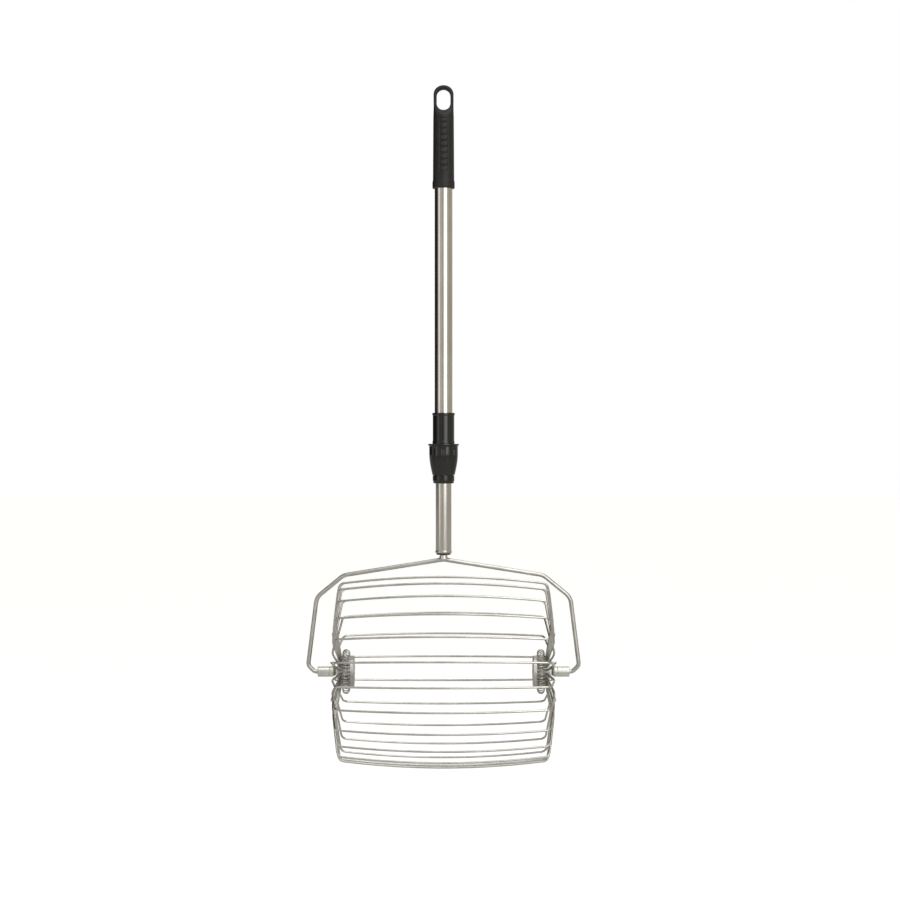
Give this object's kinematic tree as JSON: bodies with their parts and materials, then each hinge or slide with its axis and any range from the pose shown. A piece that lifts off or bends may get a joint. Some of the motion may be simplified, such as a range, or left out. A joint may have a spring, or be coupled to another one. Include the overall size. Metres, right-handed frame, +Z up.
{
  "type": "golf ball retriever",
  "caption": "Telescopic pole with a hang-eye grip and twist lock, a bent yoke and a rolling barrel cage of sprung wires that lets golf balls in between them.",
  "frame": {"origin": "centre of the hang eye in the grip, where the retriever hangs from a hook", "axes": "+Z up along the pole, X along the cage's axle, +Y from the front to the back"},
  "size_m": [0.385, 0.2688, 0.9547],
  "materials": {
    "black_grip": "fine matte texture",
    "black_lock": "semi-gloss moulded",
    "polished_tube": "polished stainless with fine lengthways lines",
    "plated_rod": "satin zinc plating",
    "plated_fitting": "bright turned zinc plating",
    "hub_metal": "satin cast zinc",
    "cage_wire": "satin drawn spring wire",
    "spring_wire": "satin spring wire",
    "white_nylon": "smooth nylon",
    "black_rubber": "matte"
  },
  "bodies": {
    "pole": {"grip": "black_grip", "upper_tube": "polished_tube", "lock_socket": "black_lock", "lock_collet": "black_lock"},
    "lock": {"lock_nut": "black_lock"},
    "lower_pole": {"lower_tube": "polished_tube", "guide_bush": "white_nylon", "tube_plug": "black_grip", "yoke_stud": "plated_fitting", "yoke_rod": "plated_rod", "left_ferrule": "plated_fitting", "right_ferrule": "plated_fitting", "left_seal": "black_rubber", "right_seal": "black_rubber"},
    "drum": {"left_bush": "white_nylon", "right_bush": "white_nylon", "left_hub_core": "hub_metal", "right_hub_core": "hub_metal", "left_hub_cap": "hub_metal", "right_hub_cap": "hub_metal", "left_spider": "cage_wire", "right_spider": "cage_wire", "left_garter_spring": "spring_wire", "right_garter_spring": "spring_wire"},
    "wire_1": {"cage_wire_1": "cage_wire"},
    "wire_2": {"cage_wire_2": "cage_wire"},
    "wire_3": {"cage_wire_3": "cage_wire"},
    "wire_4": {"cage_wire_4": "cage_wire"},
    "wire_5": {"cage_wire_5": "cage_wire"},
    "wire_6": {"cage_wire_6": "cage_wire"},
    "wire_7": {"cage_wire_7": "cage_wire"},
    "wire_8": {"cage_wire_8": "cage_wire"},
    "wire_9": {"cage_wire_9": "cage_wire"},
    "wire_10": {"cage_wire_10": "cage_wire"},
    "wire_11": {"cage_wire_11": "cage_wire"},
    "wire_12": {"cage_wire_12": "cage_wire"},
    "wire_13": {"cage_wire_13": "cage_wire"},
    "wire_14": {"cage_wire_14": "cage_wire"},
    "wire_15": {"cage_wire_15": "cage_wire"},
    "wire_16": {"cage_wire_16": "cage_wire"},
    "wire_17": {"cage_wire_17": "cage_wire"},
    "wire_18": {"cage_wire_18": "cage_wire"},
    "wire_19": {"cage_wire_19": "cage_wire"},
    "wire_20": {"cage_wire_20": "cage_wire"},
    "wire_21": {"cage_wire_21": "cage_wire"},
    "wire_22": {"cage_wire_22": "cage_wire"},
    "wire_23": {"cage_wire_23": "cage_wire"},
    "wire_24": {"cage_wire_24": "cage_wire"}
  },
  "joints": [
    {"name": "lock_twist", "type": "hinge", "parent": "pole", "child": "lock", "pos_m": [0, 0, -0.503], "axis": [0, 0, 1], "range_deg": [0, 150]},
    {"name": "pole_slide", "type": "slide", "parent": "pole", "child": "lower_pole", "axis": [0, 0, -1], "range_m": [-0.085, 0.24]},
    {"name": "drum_roll", "type": "hinge", "parent": "lower_pole", "child": "drum", "pos_m": [0, 0, -0.8002], "axis": [1, 0, 0], "continuous": true},
    {"name": "wire_1_spread", "type": "hinge", "parent": "drum", "child": "wire_1", "pos_m": [0, 0, -0.8002], "axis": [1, 0, 0], "range_deg": [-2.4, 2.4], "stiffness_Nm_per_rad": 15},
    {"name": "wire_2_spread", "type": "hinge", "parent": "drum", "child": "wire_2", "pos_m": [0, 0, -0.8002], "axis": [1, 0, 0], "range_deg": [-2.4, 2.4], "stiffness_Nm_per_rad": 15},
    {"name": "wire_3_spread", "type": "hinge", "parent": "drum", "child": "wire_3", "pos_m": [0, 0, -0.8002], "axis": [1, 0, 0], "range_deg": [-2.4, 2.4], "stiffness_Nm_per_rad": 15},
    {"name": "wire_4_spread", "type": "hinge", "parent": "drum", "child": "wire_4", "pos_m": [0, 0, -0.8002], "axis": [1, 0, 0], "range_deg": [-2.4, 2.4], "stiffness_Nm_per_rad": 15},
    {"name": "wire_5_spread", "type": "hinge", "parent": "drum", "child": "wire_5", "pos_m": [0, 0, -0.8002], "axis": [1, 0, 0], "range_deg": [-2.4, 2.4], "stiffness_Nm_per_rad": 15},
    {"name": "wire_6_spread", "type": "hinge", "parent": "drum", "child": "wire_6", "pos_m": [0, 0, -0.8002], "axis": [1, 0, 0], "range_deg": [-2.4, 2.4], "stiffness_Nm_per_rad": 15},
    {"name": "wire_7_spread", "type": "hinge", "parent": "drum", "child": "wire_7", "pos_m": [0, 0, -0.8002], "axis": [1, 0, 0], "range_deg": [-2.4, 2.4], "stiffness_Nm_per_rad": 15},
    {"name": "wire_8_spread", "type": "hinge", "parent": "drum", "child": "wire_8", "pos_m": [0, 0, -0.8002], "axis": [1, 0, 0], "range_deg": [-2.4, 2.4], "stiffness_Nm_per_rad": 15},
    {"name": "wire_9_spread", "type": "hinge", "parent": "drum", "child": "wire_9", "pos_m": [0, 0, -0.8002], "axis": [1, 0, 0], "range_deg": [-2.4, 2.4], "stiffness_Nm_per_rad": 15},
    {"name": "wire_10_spread", "type": "hinge", "parent": "drum", "child": "wire_10", "pos_m": [0, 0, -0.8002], "axis": [1, 0, 0], "range_deg": [-2.4, 2.4], "stiffness_Nm_per_rad": 15},
    {"name": "wire_11_spread", "type": "hinge", "parent": "drum", "child": "wire_11", "pos_m": [0, 0, -0.8002], "axis": [1, 0, 0], "range_deg": [-2.4, 2.4], "stiffness_Nm_per_rad": 15},
    {"name": "wire_12_spread", "type": "hinge", "parent": "drum", "child": "wire_12", "pos_m": [0, 0, -0.8002], "axis": [1, 0, 0], "range_deg": [-2.4, 2.4], "stiffness_Nm_per_rad": 15},
    {"name": "wire_13_spread", "type": "hinge", "parent": "drum", "child": "wire_13", "pos_m": [0, 0, -0.8002], "axis": [1, 0, 0], "range_deg": [-2.4, 2.4], "stiffness_Nm_per_rad": 15},
    {"name": "wire_14_spread", "type": "hinge", "parent": "drum", "child": "wire_14", "pos_m": [0, 0, -0.8002], "axis": [1, 0, 0], "range_deg": [-2.4, 2.4], "stiffness_Nm_per_rad": 15},
    {"name": "wire_15_spread", "type": "hinge", "parent": "drum", "child": "wire_15", "pos_m": [0, 0, -0.8002], "axis": [1, 0, 0], "range_deg": [-2.4, 2.4], "stiffness_Nm_per_rad": 15},
    {"name": "wire_16_spread", "type": "hinge", "parent": "drum", "child": "wire_16", "pos_m": [0, 0, -0.8002], "axis": [1, 0, 0], "range_deg": [-2.4, 2.4], "stiffness_Nm_per_rad": 15},
    {"name": "wire_17_spread", "type": "hinge", "parent": "drum", "child": "wire_17", "pos_m": [0, 0, -0.8002], "axis": [1, 0, 0], "range_deg": [-2.4, 2.4], "stiffness_Nm_per_rad": 15},
    {"name": "wire_18_spread", "type": "hinge", "parent": "drum", "child": "wire_18", "pos_m": [0, 0, -0.8002], "axis": [1, 0, 0], "range_deg": [-2.4, 2.4], "stiffness_Nm_per_rad": 15},
    {"name": "wire_19_spread", "type": "hinge", "parent": "drum", "child": "wire_19", "pos_m": [0, 0, -0.8002], "axis": [1, 0, 0], "range_deg": [-2.4, 2.4], "stiffness_Nm_per_rad": 15},
    {"name": "wire_20_spread", "type": "hinge", "parent": "drum", "child": "wire_20", "pos_m": [0, 0, -0.8002], "axis": [1, 0, 0], "range_deg": [-2.4, 2.4], "stiffness_Nm_per_rad": 15},
    {"name": "wire_21_spread", "type": "hinge", "parent": "drum", "child": "wire_21", "pos_m": [0, 0, -0.8002], "axis": [1, 0, 0], "range_deg": [-2.4, 2.4], "stiffness_Nm_per_rad": 15},
    {"name": "wire_22_spread", "type": "hinge", "parent": "drum", "child": "wire_22", "pos_m": [0, 0, -0.8002], "axis": [1, 0, 0], "range_deg": [-2.4, 2.4], "stiffness_Nm_per_rad": 15},
    {"name": "wire_23_spread", "type": "hinge", "parent": "drum", "child": "wire_23", "pos_m": [0, 0, -0.8002], "axis": [1, 0, 0], "range_deg": [-2.4, 2.4], "stiffness_Nm_per_rad": 15},
    {"name": "wire_24_spread", "type": "hinge", "parent": "drum", "child": "wire_24", "pos_m": [0, 0, -0.8002], "axis": [1, 0, 0], "range_deg": [-2.4, 2.4], "stiffness_Nm_per_rad": 15}
  ]
}
